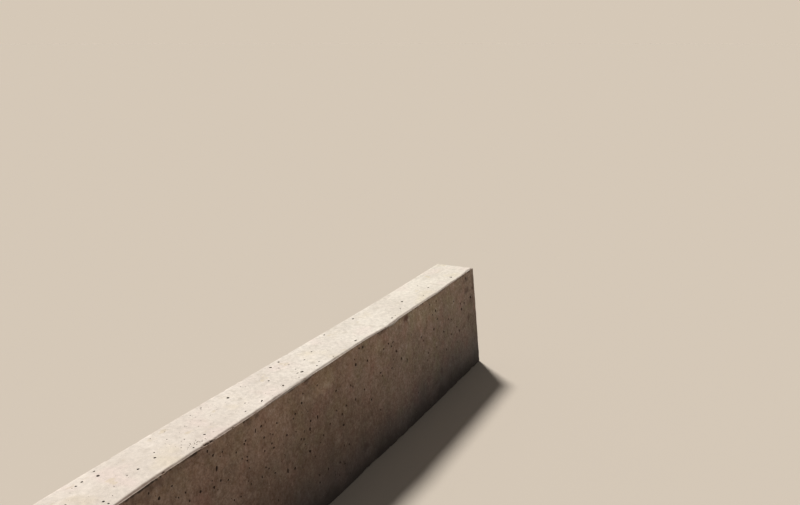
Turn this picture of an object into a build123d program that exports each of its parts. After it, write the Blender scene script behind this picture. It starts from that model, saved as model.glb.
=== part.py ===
from build123d import *
import os

# One unit of a cast concrete kerb, joint to joint.
# Frame: +X along the kerb, +Z up, -Y is the back face, +Y is the front face.
# The origin is on the bedding plane, at the middle of the unit's footprint.

# ---- driving dimensions, millimetres ----
length = 3000.0        # from one joint face to the next
height = 500.0         # bedding plane to the top
top_width = 200.0      # between the two side faces, at the top
base_width = 300.0     # between the two side faces, at the base
arris_radius = 9.0     # the trowel-rounded long edges of the top
overrun = 40.0         # the faces are drawn past the joints, then trimmed square

# Bow of the long edges: the unit was not cast dead straight, so the top edges
# wander sideways along it. Each pair is the station along X and the sideways
# offset there. The small ripples are on the back edge only; the front edge
# follows only the long bow.
back_bow = [
    (-length / 2 - overrun, -2.0),
    (-1400.0, 0.5),
    (-1200.0, 3.0),
    (-1010.0, 4.5),
    (-870.0, 7.5),
    (-730.0, 7.5),
    (-600.0, 4.0),
    (-450.0, 2.5),
    (-330.0, 4.5),
    (-210.0, 8.0),
    (-100.0, 5.5),
    (20.0, 2.0),
    (170.0, 2.5),
    (310.0, 0.5),
    (410.0, -4.5),
    (510.0, -9.0),
    (620.0, -7.2),
    (780.0, -8.3),
    (900.0, -7.6),
    (1030.0, -8.0),
    (1180.0, -6.0),
    (1320.0, -4.5),
    (length / 2 + overrun, -1.0),
]
front_bow = [
    (-length / 2 - overrun, -1.0),
    (-1100.0, 3.5),
    (-650.0, 4.5),
    (-150.0, 0.5),
    (350.0, -6.5),
    (850.0, -8.5),
    (1250.0, -5.0),
    (length / 2 + overrun, -1.0),
]
# The foot was held more firmly, so the base edges keep a truer line: each takes
# this share of the bow that its top edge has.
back_base_share = 0.45
front_base_share = 0.877


def edge_points(bow, half_width, side, share):
    return [(x, side * half_width + share * w) for x, w in bow]


with BuildPart() as kerb_stone:
    # footprint on the bedding plane
    with BuildSketch(Plane.XY) as footprint:
        with BuildLine():
            back = edge_points(back_bow, base_width / 2, -1, back_base_share)
            front = edge_points(front_bow, base_width / 2, 1, front_base_share)
            Spline(*back)
            Line(back[-1], front[-1])
            Spline(*reversed(front))
            Line(front[0], back[0])
        make_face()

    # outline of the top, with the full bow of its edges
    with BuildSketch(Plane.XY.offset(height)) as crown:
        with BuildLine():
            back = edge_points(back_bow, top_width / 2, -1, 1.0)
            front = edge_points(front_bow, top_width / 2, 1, 1.0)
            Spline(*back)
            Line(back[-1], front[-1])
            Spline(*reversed(front))
            Line(front[0], back[0])
        make_face()

    # battered side faces, straight from the base edge to the top edge
    loft(ruled=True)

    # joint faces, square to the kerb
    split(bisect_by=Plane.YZ.offset(length / 2), keep=Keep.BOTTOM)
    split(bisect_by=Plane.YZ.offset(-length / 2), keep=Keep.TOP)

    # the two long edges of the top
    long_top_edges = (
        kerb_stone.edges()
        .filter_by(lambda e: e.center().Z > height - 1.0 and e.length > length / 2)
    )
    fillet(long_top_edges, radius=arris_radius)

kerb_stone.part.label = "kerb_stone"

box = kerb_stone.part.bounding_box()
print("solids", len(kerb_stone.part.solids()))
print("volume m3", round(kerb_stone.part.volume / 1e9, 5))
print("box", [round(v, 3) for v in (box.min.X, box.min.Y, box.min.Z, box.max.X, box.max.Y, box.max.Z)])

os.makedirs("parts", exist_ok=True)
export_step(kerb_stone.part, "parts/kerb_stone.step")
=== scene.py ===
import bpy
import math
import numpy as np
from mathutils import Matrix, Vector
from mathutils.geometry import delaunay_2d_cdt


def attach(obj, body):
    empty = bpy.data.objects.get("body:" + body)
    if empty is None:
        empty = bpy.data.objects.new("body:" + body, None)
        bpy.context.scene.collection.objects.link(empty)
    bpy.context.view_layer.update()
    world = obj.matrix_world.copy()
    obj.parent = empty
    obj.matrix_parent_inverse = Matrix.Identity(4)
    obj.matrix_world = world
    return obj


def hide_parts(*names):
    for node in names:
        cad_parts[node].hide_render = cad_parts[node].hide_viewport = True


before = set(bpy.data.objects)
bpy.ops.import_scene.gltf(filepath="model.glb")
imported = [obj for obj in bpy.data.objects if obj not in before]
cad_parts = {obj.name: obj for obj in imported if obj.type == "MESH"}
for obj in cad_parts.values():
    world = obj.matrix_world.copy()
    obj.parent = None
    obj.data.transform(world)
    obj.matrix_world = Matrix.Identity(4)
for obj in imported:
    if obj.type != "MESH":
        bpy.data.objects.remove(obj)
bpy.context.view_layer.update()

scene = bpy.context.scene
rng = np.random.default_rng(20417)

# ------------------------------------------------------------------ the kerb's section and line
# Metres. The kerb runs along X, its back face looks to -Y, its front face to +Y.
HALF = 1.5            # half the unit's length
HIGH = 0.5            # height
TOP_HALF = 0.1        # half the top's width
BASE_HALF = 0.15      # half the base's width
ROUND = 0.009         # trowel-rounded long edges of the top

# the bow of the long top edges: station, sideways offset (millimetres)
BACK_BOW = [(-1540, -2.0), (-1400, 0.5), (-1200, 3.0), (-1010, 4.5), (-870, 7.5), (-730, 7.5), (-600, 4.0),
            (-450, 2.5), (-330, 4.5), (-210, 8.0), (-100, 5.5), (20, 2.0), (170, 2.5), (310, 0.5), (410, -4.5),
            (510, -9.0), (620, -7.2), (780, -8.3), (900, -7.6), (1030, -8.0), (1180, -6.0), (1320, -4.5),
            (1540, -1.0)]
FRONT_BOW = [(-1540, -1.0), (-1100, 3.5), (-650, 4.5), (-150, 0.5), (350, -6.5), (850, -8.5), (1250, -5.0),
             (1540, -1.0)]
BACK_BASE_SHARE = 0.45
FRONT_BASE_SHARE = 0.877


def natural_spline(table):
    """A natural cubic through the table's points, as a function of x in metres."""
    x = np.array([p[0] for p in table], float) / 1000
    y = np.array([p[1] for p in table], float) / 1000
    n = len(x)
    h = np.diff(x)
    A = np.zeros((n, n))
    b = np.zeros(n)
    A[0, 0] = A[-1, -1] = 1
    for i in range(1, n - 1):
        A[i, i - 1], A[i, i], A[i, i + 1] = h[i - 1], 2 * (h[i - 1] + h[i]), h[i]
        b[i] = 6 * ((y[i + 1] - y[i]) / h[i] - (y[i] - y[i - 1]) / h[i - 1])
    m = np.linalg.solve(A, b)

    def f(q):
        q = np.asarray(q, float)
        i = np.clip(np.searchsorted(x, q) - 1, 0, n - 2)
        t0, t1, hh = x[i + 1] - q, q - x[i], h[i]
        return (m[i] * t0 ** 3 + m[i + 1] * t1 ** 3) / (6 * hh) \
            + (y[i] / hh - m[i] * hh / 6) * t0 + (y[i + 1] / hh - m[i + 1] * hh / 6) * t1
    return f


back_bow = natural_spline(BACK_BOW)
front_bow = natural_spline(FRONT_BOW)

# ------------------------------------------------------------------ unrolled surface
# The outside is drawn unrolled: u along the kerb, v round the section, from the back base edge up the back
# face, over the top, down the front face and back under the base. Corners of the section, in v:
SIDE = math.hypot(BASE_HALF - TOP_HALF, HIGH)
C0, C1, C2, C3 = 0.0, SIDE, SIDE + 2 * TOP_HALF, 2 * SIDE + 2 * TOP_HALF
AROUND = C3 + 2 * BASE_HALF


def smooth(t):
    t = np.clip(t, 0, 1)
    return t * t * (3 - 2 * t)


def waves(seed, count, short, long, squeeze=(1.0, 1.0)):
    """Band-limited smooth noise of unit spread: the sum of many random plane waves."""
    r = np.random.default_rng(seed)
    lam = np.exp(r.uniform(math.log(short), math.log(long), count))
    ang = r.uniform(0, 2 * math.pi, count)
    k = 2 * math.pi / lam
    kx, ky, ph = k * np.cos(ang) * squeeze[0], k * np.sin(ang) * squeeze[1], r.uniform(0, 2 * math.pi, count)

    def f(x, y):
        x, y = np.asarray(x, float), np.asarray(y, float)
        out = np.zeros(np.broadcast(x, y).shape)
        for a, b, c in zip(kx, ky, ph):
            out += np.cos(a * x + b * y + c)
        return out * math.sqrt(2.0 / count)
    return f


# Arris stations, millimetres: t runs over the corner, from the side face (negative) to the top (positive),
# and each has its place as (inward along the top, down the side). The finned profile has the low fin that
# edging leaves at the corner, with a shallow groove behind it.
ARRIS_T = [-12, -9.5, -7.8, -6.4, -5.2, -4.2, -3.4, -2.7, -2.1, -1.5, -0.8, 0.2, 1.4, 2.8, 4.4, 6.2, 8.2, 10.4, 13, 17]
ARRIS_FIN = [(0, 12), (0, 9.5), (0.05, 7.8), (0.25, 6.4), (0.55, 5.2), (0.75, 4.3), (0.75, 3.5), (0.6, 2.75),
             (0.85, 2.05), (1.4, 1.5), (2.1, 1.3), (2.9, 1.65), (3.9, 2.5), (5.3, 3.0), (6.8, 2.85), (8.4, 2.2),
             (10.1, 1.3), (11.9, 0.55), (14.0, 0.12), (17, 0)]


def plain_profile(radius):
    """The same stations on a plain rounded edge."""
    lean = math.atan((BASE_HALF - TOP_HALF) / HIGH)
    phi = math.pi / 2 - lean
    r = radius * 1000
    t0 = r * math.tan(phi / 2)
    out = []
    for t in ARRIS_T:
        if t <= -t0:
            out.append((0.0, -float(t)))
        elif t >= t0:
            out.append((float(t), 0.0))
        else:
            s = (t + t0) / (2 * t0) * phi
            x, y = r * (1 - math.cos(s)), r * math.sin(s)
            out.append((max(x / math.cos(lean), 0.0), max(t0 - y + x * math.tan(lean), 0.0)))
    return out


ARRIS_PLAIN = plain_profile(ROUND)
BASE_T = [-8.0, -3.2, -1.2, 1.2, 3.2, 8.0]
BASE_SHAPE = [(0, 8.0), (0.0, 3.2), (0.45, 1.5), (1.5, 0.4), (3.2, 0.0), (8.0, 0)]

# broken places in the arrises: station (mm), half length (mm), bite (mm)
CHIPS_BACK = [(-857, 8, 5.8), (-884, 5, 1.6), (-664, 25, 10.4), (-637, 8, 3.6), (-694, 7, 3.2), (-618, 5, 1.6),
              (-549, 6, 5.0), (-505, 4, 1.2), (-428, 8, 1.6), (-372, 4, 1.2), (-126, 7, 2.2), (-58, 5, 1.2),
              (288, 9, 1.2), (476, 10, 1.4), (560, 7, 1.2), (742, 6, 1.4), (870, 5, 1.2), (1012, 7, 1.2),
              (1118, 6, 1.5), (1284, 9, 1.5), (1404, 6, 1.8), (1476, 9, 3.0),
              (-1081, 8, 1.9), (-1216, 15, 3.4), (-1302, 5, 1.5), (-1345, 7, 2.0), (-1468, 12, 3.6)]


def random_chips(count, half_lo, half_hi, bite_lo, bite_hi):
    return [(float(x), float(h), float(d)) for x, h, d in zip(rng.uniform(-1480, 1480, count),
                                                             rng.uniform(half_lo, half_hi, count),
                                                             rng.uniform(bite_lo, bite_hi, count))]


CHIPS_FRONT = random_chips(26, 3, 17, 0.8, 3.6)
CHIPS_BASE_ROAD = random_chips(30, 8, 34, 0.8, 3.4)
CHIPS_BASE_BACK = random_chips(30, 8, 34, 0.8, 3.4)

fin_noise = waves(11, 30, 0.05, 0.5)
fin_fine = waves(12, 30, 0.012, 0.05)
edge_noise = waves(13, 36, 0.02, 0.14)
crumbly = waves(14, 36, 0.005, 0.016)


def chip_amount(u, chips, seed, short, long):
    """How far the edge is bitten away at u, in metres."""
    out = np.zeros_like(u)
    fine = waves(seed, 24, short, long)
    for x, h, d in chips:
        t = np.abs(u * 1000 - x) / h
        out = np.maximum(out, d / 1000 * smooth((1 - t) * 1.7) * (0.80 + 0.30 * fine(u, 0.0)))
    return np.clip(out, 0, None)


# ------------------------------------------------------------------ relief
face_long = waves(21, 40, 0.30, 1.2, (1.0, 0.8))
face_mid = waves(22, 50, 0.06, 0.2, (1.0, 0.6))
face_fine = waves(23, 60, 0.026, 0.06)
top_long = waves(24, 40, 0.25, 1.0)
top_mid = waves(25, 50, 0.07, 0.22, (0.55, 1.0))
top_fine = waves(26, 60, 0.022, 0.05, (0.6, 1.0))
road_long = waves(27, 40, 0.30, 1.2, (1.0, 0.8))
crust = waves(28, 60, 0.028, 0.09)


def relief(u, v):
    """Outward swell of the cast surface, in metres, without its holes."""
    on_top = smooth((v - C1) / 0.012) * smooth((C2 - v) / 0.012)
    on_back = smooth((C1 - v) / 0.05) * smooth(v / 0.02)
    on_road = smooth((v - C2) / 0.05) * smooth((C3 - v) / 0.02)
    top = 0.00045 * top_long(u, v) + 0.00022 * top_mid(u, v) + 0.00006 * top_fine(u, v)
    back = 0.00050 * face_long(u, v) + 0.00020 * face_mid(u, v) + 0.00007 * face_fine(u, v)
    road = 0.00050 * road_long(u, v) + 0.00020 * face_mid(u + 7.0, v) + 0.00007 * face_fine(u + 5.0, v)
    foot = 0.00055 * crust(u, v)
    return on_top * top + on_back * (back + smooth((0.10 - v) / 0.07) * foot) \
        + on_road * (road + smooth((0.10 - C3 + v) / 0.07) * foot)


# ------------------------------------------------------------------ holes and crumbs
# Air holes of the back face: station, depth below the top, width, height, depth of the hole (mm)
BACK_HOLES = [
    (-892, 57, 9.0, 10.0, 5.3), (-927, 25, 6.0, 6.0, 2.4), (-837, 49, 6.0, 6.0, 2.4), (-829, 87, 4.0, 5.0, 1.6),
    (-819, 93, 5.0, 5.0, 2.0), (-789, 93, 6.0, 6.0, 3.6), (-778, 124, 7.0, 7.0, 3.7), (-729, 120, 8.0, 8.0, 4.7),
    (-677, 20, 7.9, 7.9, 4.2), (-675, 113, 5.0, 5.0, 1.7), (-671, 136, 7.9, 7.9, 5.2), (-656, 42, 8.9, 7.0, 3.3),
    (-656, 151, 5.0, 5.0, 2.3), (-648, 87, 10.9, 13.9, 7.9), (-638, 130, 6.9, 6.9, 2.4), (-626, 59, 5.0, 5.0, 1.7),
    (-614, 50, 6.0, 5.0, 1.7), (-606, 144, 6.0, 5.0, 2.3), (-592, 217, 6.0, 6.0, 2.8), (-559, 222, 5.9, 5.9, 2.8),
    (-554, 79, 5.9, 5.9, 3.2), (-531, 110, 5.9, 5.9, 2.8), (-515, 192, 5.0, 5.0, 1.7), (-512, 70, 7.9, 6.9, 4.1),
    (-508, 127, 7.9, 5.9, 3.2), (-506, 115, 6.9, 5.9, 3.2), (-504, 63, 6.9, 5.9, 3.2), (-502, 155, 5.9, 5.9, 2.4),
    (-503, 208, 5.9, 5.9, 2.0), (-448, 54, 5.9, 13.8, 3.5), (-445, 212, 6.9, 6.9, 2.4), (-419, 192, 7.9, 6.9, 2.4),
    (-417, 52, 8.9, 7.9, 5.2), (-415, 138, 6.9, 6.9, 3.7), (-409, 94, 8.9, 5.9, 3.2), (-404, 203, 7.9, 6.9, 2.4),
    (-375, 96, 5.9, 5.9, 2.8), (-361, 105, 5.9, 4.9, 2.0), (-375, 232, 8.9, 5.9, 3.5), (-372, 131, 7.9, 7.9, 4.7),
    (-364, 149, 9.9, 6.9, 4.1), (-330, 78, 8.9, 6.9, 2.8), (-301, 260, 9.9, 14.8, 6.5), (-281, 142, 8.9, 6.9, 4.1),
    (-257, 273, 10.8, 7.9, 5.7), (-231, 105, 7.9, 5.9, 2.0), (-217, 94, 8.9, 7.9, 3.2), (-200, 193, 8.9, 7.9, 2.2),
    (-183, 200, 9.8, 7.9, 4.7), (-178, 221, 6.9, 5.9, 2.0), (-174, 175, 6.9, 7.9, 3.2), (-170, 73, 8.9, 7.9, 4.7),
    (-156, 45, 6.9, 5.9, 2.4), (-155, 257, 12.8, 8.8, 6.4), (-140, 181, 10.8, 10.8, 7.1), (-131, 154, 8.8, 7.9, 4.7),
    (-129, 289, 7.9, 5.9, 2.4), (-117, 365, 7.9, 6.9, 3.2), (-119, 393, 7.9, 5.9, 2.8), (-86, 158, 8.8, 11.8, 6.4),
    (-87, 255, 6.9, 5.9, 2.0), (-66, 48, 8.8, 5.9, 2.4), (-63, 237, 7.9, 7.9, 4.7), (-56, 370, 6.9, 8.8, 3.6),
    (-13, 215, 7.8, 6.9, 2.8), (26, 384, 8.8, 8.8, 5.8), (40, 185, 7.8, 6.8, 3.2), (52, 113, 10.7, 6.8, 4.9),
    (78, 215, 11.7, 7.8, 5.6), (80, 258, 10.7, 9.7, 6.4), (106, 347, 7.8, 7.8, 2.7), (113, 195, 10.7, 6.8, 4.0),
    (162, 133, 7.7, 8.7, 5.6), (178, 144, 9.7, 6.8, 4.0), (187, 199, 7.7, 10.6, 4.1), (213, 48, 7.7, 6.7, 3.2),
    (218, 71, 11.6, 11.6, 7.6), (255, 16, 10.6, 6.7, 3.6), (263, 188, 7.7, 7.7, 4.1), (283, 22, 9.6, 10.5, 4.5),
    (308, 86, 9.6, 8.6, 6.2), (309, 248, 9.6, 7.6, 4.5), (399, 168, 13.3, 6.6, 3.9), (411, 185, 7.6, 6.6, 2.7),
    (439, 81, 9.4, 6.6, 3.9), (482, 72, 8.5, 7.5, 4.9), (494, 181, 9.4, 7.5, 3.5), (506, 91, 9.4, 7.5, 4.0),
    (518, 152, 8.4, 7.5, 3.5), (523, 79, 11.3, 6.6, 4.3), (549, 126, 10.3, 10.3, 6.1), (591, 174, 10.3, 12.1, 7.4),
    (644, 200, 8.4, 16.7, 3.4), (726, 378, 11.1, 6.5, 3.4), (806, 148, 11.0, 10.1, 6.0), (822, 169, 8.2, 7.3, 3.9),
    (852, 271, 7.3, 7.3, 3.0), (866, 241, 10.0, 8.2, 3.8), (916, 29, 9.1, 6.3, 3.4), (941, 84, 7.2, 7.2, 2.9),
    (945, 154, 11.8, 11.8, 4.8), (961, 245, 9.0, 7.2, 2.9), (980, 76, 11.7, 10.8, 6.4), (991, 119, 12.6, 7.2, 3.8),
    (993, 33, 12.6, 10.8, 7.1), (1057, 201, 11.6, 9.0, 4.8), (1072, 295, 8.9, 10.7, 3.6), (1124, 160, 8.9, 8.0, 3.8),
    (1149, 243, 13.3, 8.0, 5.8), (1162, 173, 9.8, 8.0, 3.2), (1208, 96, 12.4, 7.1, 2.9), (1214, 303, 10.6, 7.9, 3.7),
    (1225, 229, 12.3, 7.1, 3.3), (1254, 258, 11.4, 13.2, 6.1), (1293, 131, 7.9, 12.3, 3.2),
    (1300, 161, 11.4, 13.1, 6.1), (1343, 141, 12.2, 9.6, 3.9), (1383, 23, 9.6, 15.6, 6.3),
    (1432, 136, 15.6, 11.3, 6.0), (1470, 96, 11.2, 10.3, 5.5)]
# Marks on the top: station, distance in from the back edge, length, width, depth (-: a stuck crumb's height) (mm)
TOP_MARKS = [
    (-1041, 27, 5.7, 5.7, 1.7), (-1039, 46, 6.6, 6.6, 2.4), (-1014, 165, 5.7, 5.7, 1.7), (-990, 168, 7.6, 6.6, 2.0),
    (-947, 153, 9.4, 8.5, 4.7), (-933, 181, 6.6, 5.7, 1.5), (-912, 83, 5.0, 3.6, 0.4), (-872, 80, 7.5, 6.6, 3.3),
    (-803, 81, 8.4, 7.4, 3.4), (-779, 104, 5.2, 5.2, 1.1), (-717, 174, 4.6, 3.8, 0.6), (-706, 23, 5.5, 5.5, 2.0),
    (-700, 126, 4.8, 3.8, 0.5), (-664, 165, 4.6, 4.0, 0.5), (-625, 49, 7.6, 6.6, 3.2), (-607, 137, 3.8, 3.8, 0.5),
    (-539, 171, 4.4, 3.6, 0.5), (-511, 116, 4.2, 3.6, 0.5), (-439, 35, 7.2, 5.4, 1.4), (-388, 73, 5.6, 4.4, 0.7),
    (-377, 148, 11.6, 8.4, 4.6), (-350, 33, 13.0, 6.4, 2.8), (-282, 166, 4.8, 3.8, 0.6), (-213, 37, 9.6, 8.7, -4.0),
    (-200, 106, 7.8, 7.0, 2.1), (-129, 27, 6.0, 5.2, 1.3), (-98, 54, 8.0, 7.0, 2.2), (-94, 173, 9.6, 8.8, 4.0),
    (-87, 143, 6.9, 5.2, 1.1), (-81, 47, 13.6, 9.0, 5.0), (-70, 81, 6.0, 5.1, 0.8), (-45, 128, 6.8, 5.1, 1.1),
    (-39, 176, 10.2, 7.7, -3.8), (-9, 30, 6.8, 5.1, 1.3), (21, 103, 8.5, 5.9, 1.8), (28, 44, 5.9, 5.1, 1.3),
    (96, 22, 5.9, 5.1, 1.3), (105, 124, 8.4, 5.9, 1.5), (284, 30, 14.4, 9.0, 4.4), (286, 178, 8.3, 7.5, -3.0),
    (515, 174, 11.0, 9.6, 4.4), (594, 30, 12.5, 8.0, 3.8), (633, 33, 7.3, 4.8, 1.5), (726, 54, 8.0, 6.0, 1.8),
    (820, 90, 14.6, 9.4, 4.6), (946, 40, 7.9, 5.5, 1.7), (1075, 71, 12.0, 7.4, 3.2), (1081, 129, 9.3, 4.7, 1.0),
    (1292, 39, 16.0, 8.6, 3.8), (-599, 37, 6.4, 5.5, -1.1), (-504, 115, 6.2, 4.8, -0.8), (-480, 177, 8.1, 6.3, -2.2)]


# Stains on the back face: station, depth below the top, half width, half height (mm), strength
STAINS = [(667, 19, 27, 13, 1.0), (-900, 15, 44, 9, 0.6), (-846, 30, 22, 12, 0.35), (-668, 30, 24, 12, 0.35),
          (-778, 15, 100, 12, 0.32), (-1000, 22, 60, 18, 0.3), (-430, 11, 10, 6, 0.6), (-215, 8, 22, 5, 0.5),
          (440, 12, 40, 5, 0.5), (1395, 32, 30, 14, 0.55), (1445, 150, 24, 30, 0.35), (228, 411, 20, 17, 0.7),
          (1001, 373, 16, 14, 0.6), (936, 408, 20, 9, 0.6),
          (1388, 86, 34, 18, 0.7), (1390, 229, 14, 13, 0.6), (-888, 14, 16, 7, 0.6), (-585, 118, 28, 22, 0.35),
          (-1210, 60, 30, 24, 0.5), (-1330, 210, 36, 30, 0.4), (-478, 14, 20, 9, 0.6), (-128, 15, 14, 7, 0.5),
          (1480, 60, 18, 50, 0.4), (280, 20, 16, 9, 0.5), (-935, 38, 18, 14, 0.45), (1335, 45, 60, 34, 0.13)]
# paler spots of the back face, same columns
PALE = [(-25, 40, 85, 52, 0.52), (860, 50, 150, 60, 0.34), (600, 14, 30, 14, 0.5), (410, 60, 40, 30, 0.35)]
# darker stretches of the painted shadow line under the back arris: station, half length (mm), strength
UNDER_MARKS = [(-960, 55, 0.75), (-893, 26, 1.0), (-842, 22, 0.9), (-775, 34, 0.6), (-725, 28, 1.0), (-700, 12, 0.7),
               (-590, 20, 0.25), (-485, 20, 0.8), (-430, 16, 0.5), (-300, 30, 0.15), (-225, 20, 0.3), (-122, 20, 0.7),
               (-85, 16, 0.4), (100, 20, 0.15), (190, 15, 0.3), (428, 28, 0.7), (478, 18, 0.35), (535, 26, 0.35),
               (600, 20, 0.15), (680, 30, 0.15), (780, 22, 0.45), (840, 24, 0.45), (900, 26, 0.2), (1085, 24, 0.45),
               (1200, 26, 0.25), (1270, 26, 0.35), (1335, 34, 0.5), (1400, 26, 0.6), (1442, 20, 0.8),
               (-1150, 30, 0.6), (-1290, 45, 0.7), (-1400, 20, 0.3)]


# the painted shade band along the back arris: station, weight, width (mm), share of the light crest left
ARRIS_SHADE_BAND = [(-1500, 1.0, 13, 0.3), (-1020, 1.0, 14, 0.45), (-960, 1.0, 15.5, 0.5), (-900, 1.0, 15.2, 0.55),
              (-840, 1.0, 16.8, 0.6), (-780, 1.0, 12.5, 0.45), (-700, 0.98, 13, 0.3), (-665, 1.14, 17.5, 0.05),
              (-635, 1.04, 14.5, 0.1), (-600, 1.0, 13.5, 0.1),
              (-540, 1.0, 15, 0.15), (-480, 1.0, 15.5, 0.05), (-420, 0.98, 13.5, 0.4), (-360, 1.0, 15, 0.15),
              (-300, 0.96, 13, 0.1), (-250, 0.90, 9, 0.0), (-180, 0.92, 9.5, 0.0), (-120, 0.95, 12.5, 0.0),
              (-60, 0.80, 15.5, 0.25), (0, 0.76, 16, 0.3), (80, 0.76, 13.5, 0.25), (180, 0.77, 12, 0.3),
              (240, 0.78, 13, 0.45), (310, 0.84, 14, 0.2), (360, 0.87, 13.5, 0.05), (420, 0.92, 14.5, 0.0),
              (480, 0.86, 9.5, 0.0), (540, 0.95, 12.5, 0.2), (600, 0.84, 14.5, 0.1), (680, 0.68, 15, 0.15),
              (780, 0.68, 15, 0.15), (900, 0.62, 14, 0.1), (960, 0.68, 15, 0.1), (1030, 0.74, 11, 0.0),
              (1085, 0.76, 11.5, 0.0), (1140, 0.90, 12, 0.0), (1200, 0.92, 14, 0.0), (1280, 0.90, 11, 0.0),
              (1390, 0.92, 10.5, 0.0), (1440, 0.50, 18, 0.45), (1500, 0.85, 14, 0.0)]


# how far the trowelled skin hangs over the side face: station, millimetres
ARRIS_SKIRT = [(-1500, 2.7), (-960, 2.2), (-900, 0.6), (-840, 0.6), (-790, 3.2), (-720, 1.3), (-600, 2.8),
               (-540, 1.4), (-480, 2.4), (-400, 2.8), (-350, 3.6), (-300, 5.0), (-240, 8.0), (-180, 7.6),
               (-125, 6.8), (-90, 3.6), (-60, 2.2), (0, 1.6), (80, 3.0), (240, 3.2), (300, 2.0), (360, 2.5),
               (440, 3.2), (480, 6.0), (545, 8.4), (600, 5.0), (660, 1.7), (720, 2.0), (780, 0.5), (840, 1.3),
               (900, 1.9), (950, 2.5), (1020, 5.4), (1080, 1.5), (1140, 2.5), (1200, 1.7), (1260, 2.2), (1330, 0.8),
               (1380, 1.2), (1440, 0.5), (1500, 1.6)]
# where that skin hangs as a paler lip, left by the edging: station, half length (mm), share of the painted shade band
# taken off
LIPS = [(-300, 26, 0.35), (-235, 40, 0.50), (-170, 42, 0.66), (-120, 30, 0.62), (545, 42, 0.80)]


class Near:
    """Cells that answer quickly whether a spot is clear of what is already placed."""

    def __init__(self, cell=0.02):
        self.cell, self.grid = cell, {}

    def clear(self, u, v, r):
        i, j = int(u // self.cell), int(v // self.cell)
        for a in (-1, 0, 1):
            for b in (-1, 0, 1):
                for pu, pv, pr in self.grid.get((i + a, j + b), ()):
                    if math.hypot(pu - u, pv - v) < pr + r:
                        return False
        return True

    def add(self, u, v, r):
        self.grid.setdefault((int(u // self.cell), int(v // self.cell)), []).append((u, v, r))


EDGE_LO, EDGE_HI = -ARRIS_T[0] / 1000, ARRIS_T[-1] / 1000      # reach of the arris bands on side and top
END_BAND = 0.0028     # a narrow column of faces along each end keeps the long faces flat up to it
holes = []        # u, v, half along, half across, depth (m), turn, kind
near = Near()


def add_hole(u, v, ru, rv, depth, turn, kind, margin=0.0010):
    r = max(ru, rv) * 1.12
    if not near.clear(u, v, r + margin):
        return False
    near.add(u, v, r)
    holes.append((u, v, ru, rv, depth, turn, kind))
    return True


for x, d, w, h, dep in BACK_HOLES:
    grow = 1.19 + 0.09 * float(smooth((x + 300) / 800))
    w, h, dep = w * grow, h * grow, dep * 1.2
    v = min(C1 - d / 1000 * SIDE / HIGH, C1 - EDGE_LO - h / 2000 * 1.2 - 0.0005)
    add_hole(x / 1000, v, w / 2000, h / 2000, dep / 1000, rng.uniform(-0.35, 0.35), "big", 0.0002)
for x, a, w, h, dep in TOP_MARKS:
    grow = 1.16 if dep > 0 else 1.0
    w, h, dep = w * grow, h * grow, dep * (1.35 if dep > 0 else 1.0)
    v = max(C1 + a / 1000, C1 + EDGE_HI + h / 2000 * 1.2 + 0.0005)
    add_hole(x / 1000, v, w / 2000, h / 2000, dep / 1000, rng.uniform(-0.6, 0.6), "big", 0.0002)


def scatter(count, v_lo, v_hi, r_lo, r_hi, deep, kind, where=None, u_lo=-HALF, u_hi=HALF, bump_share=0.0, tall=1.0):
    """Random holes, small ones far more common than large ones."""
    made, tries = 0, 0
    while made < count and tries < count * 12:
        tries += 1
        r = r_lo * (r_hi / r_lo) ** (rng.random() ** 1.7)
        u = rng.uniform(u_lo + 0.012, u_hi - 0.012)
        v = rng.uniform(v_lo + r * 1.6 + 0.0006, v_hi - r * 1.6 - 0.0006)
        if where is not None and rng.random() > where(u, v):
            continue
        stretch = rng.uniform(0.8, 1.0) if tall == 1.0 else rng.uniform(0.9, tall)
        dep = r * rng.uniform(*deep)
        if rng.random() < bump_share:
            dep = -dep * 0.8
        if add_hole(u, v, r * rng.uniform(0.85, 1.0), r * stretch, dep, rng.uniform(-0.5, 0.5), kind):
            made += 1


for _ in range(26):
    d = 8 + 60 * rng.random() ** 1.6
    x = rng.normal(-672 - 0.35 * d, 24)
    r = rng.uniform(0.9, 1.9) / 1000
    add_hole(x / 1000, C1 + (EDGE_HI * 1000 + d) / 1000, r, r * rng.uniform(0.7, 1.0), -r * rng.uniform(0.7, 1.2),
             rng.uniform(-0.6, 0.6), "mid", 0.0004)

cluster = waves(31, 40, 0.12, 0.6)


def more_in_patches(u, v):
    return float(np.clip(0.55 + 0.45 * cluster(u, v), 0.05, 1.0))


def high_on_face(u, v):
    # air gathers in the upper part of a lift
    h = v / SIDE if v < C1 else (C3 - v) / SIDE
    return float(np.clip(0.35 + 0.65 * h, 0, 1)) * more_in_patches(u, v)


back_lo, back_hi = C0 + 0.008, C1 - EDGE_LO
road_lo, road_hi = C2 + EDGE_LO, C3 - 0.008
top_lo, top_hi = C1 + EDGE_HI, C2 - EDGE_HI
scatter(30, back_lo, back_hi, 0.0030, 0.0056, (0.7, 1.05), "big", high_on_face, u_hi=-0.92, tall=1.3)
scatter(20, back_lo, C0 + 0.24, 0.0028, 0.0048, (0.6, 1.0), "big", more_in_patches, u_lo=-0.92, tall=1.3)
scatter(280, back_lo, back_hi, 0.0016, 0.0027, (0.8, 1.1), "mid", high_on_face, tall=1.4)
scatter(470, back_lo, back_hi, 0.0009, 0.0016, (0.9, 1.2), "small", high_on_face, tall=1.2)
scatter(110, road_lo, road_hi, 0.0028, 0.0062, (0.6, 1.05), "big", high_on_face, tall=1.5)
scatter(220, road_lo, road_hi, 0.0016, 0.0026, (0.8, 1.1), "mid", high_on_face, tall=1.4)
scatter(380, road_lo, road_hi, 0.0009, 0.0016, (0.9, 1.2), "small", high_on_face, tall=1.2)
scatter(16, top_lo, top_hi, 0.0022, 0.0034, (0.45, 0.8), "big", more_in_patches, bump_share=0.35, u_hi=-1.05)
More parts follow.
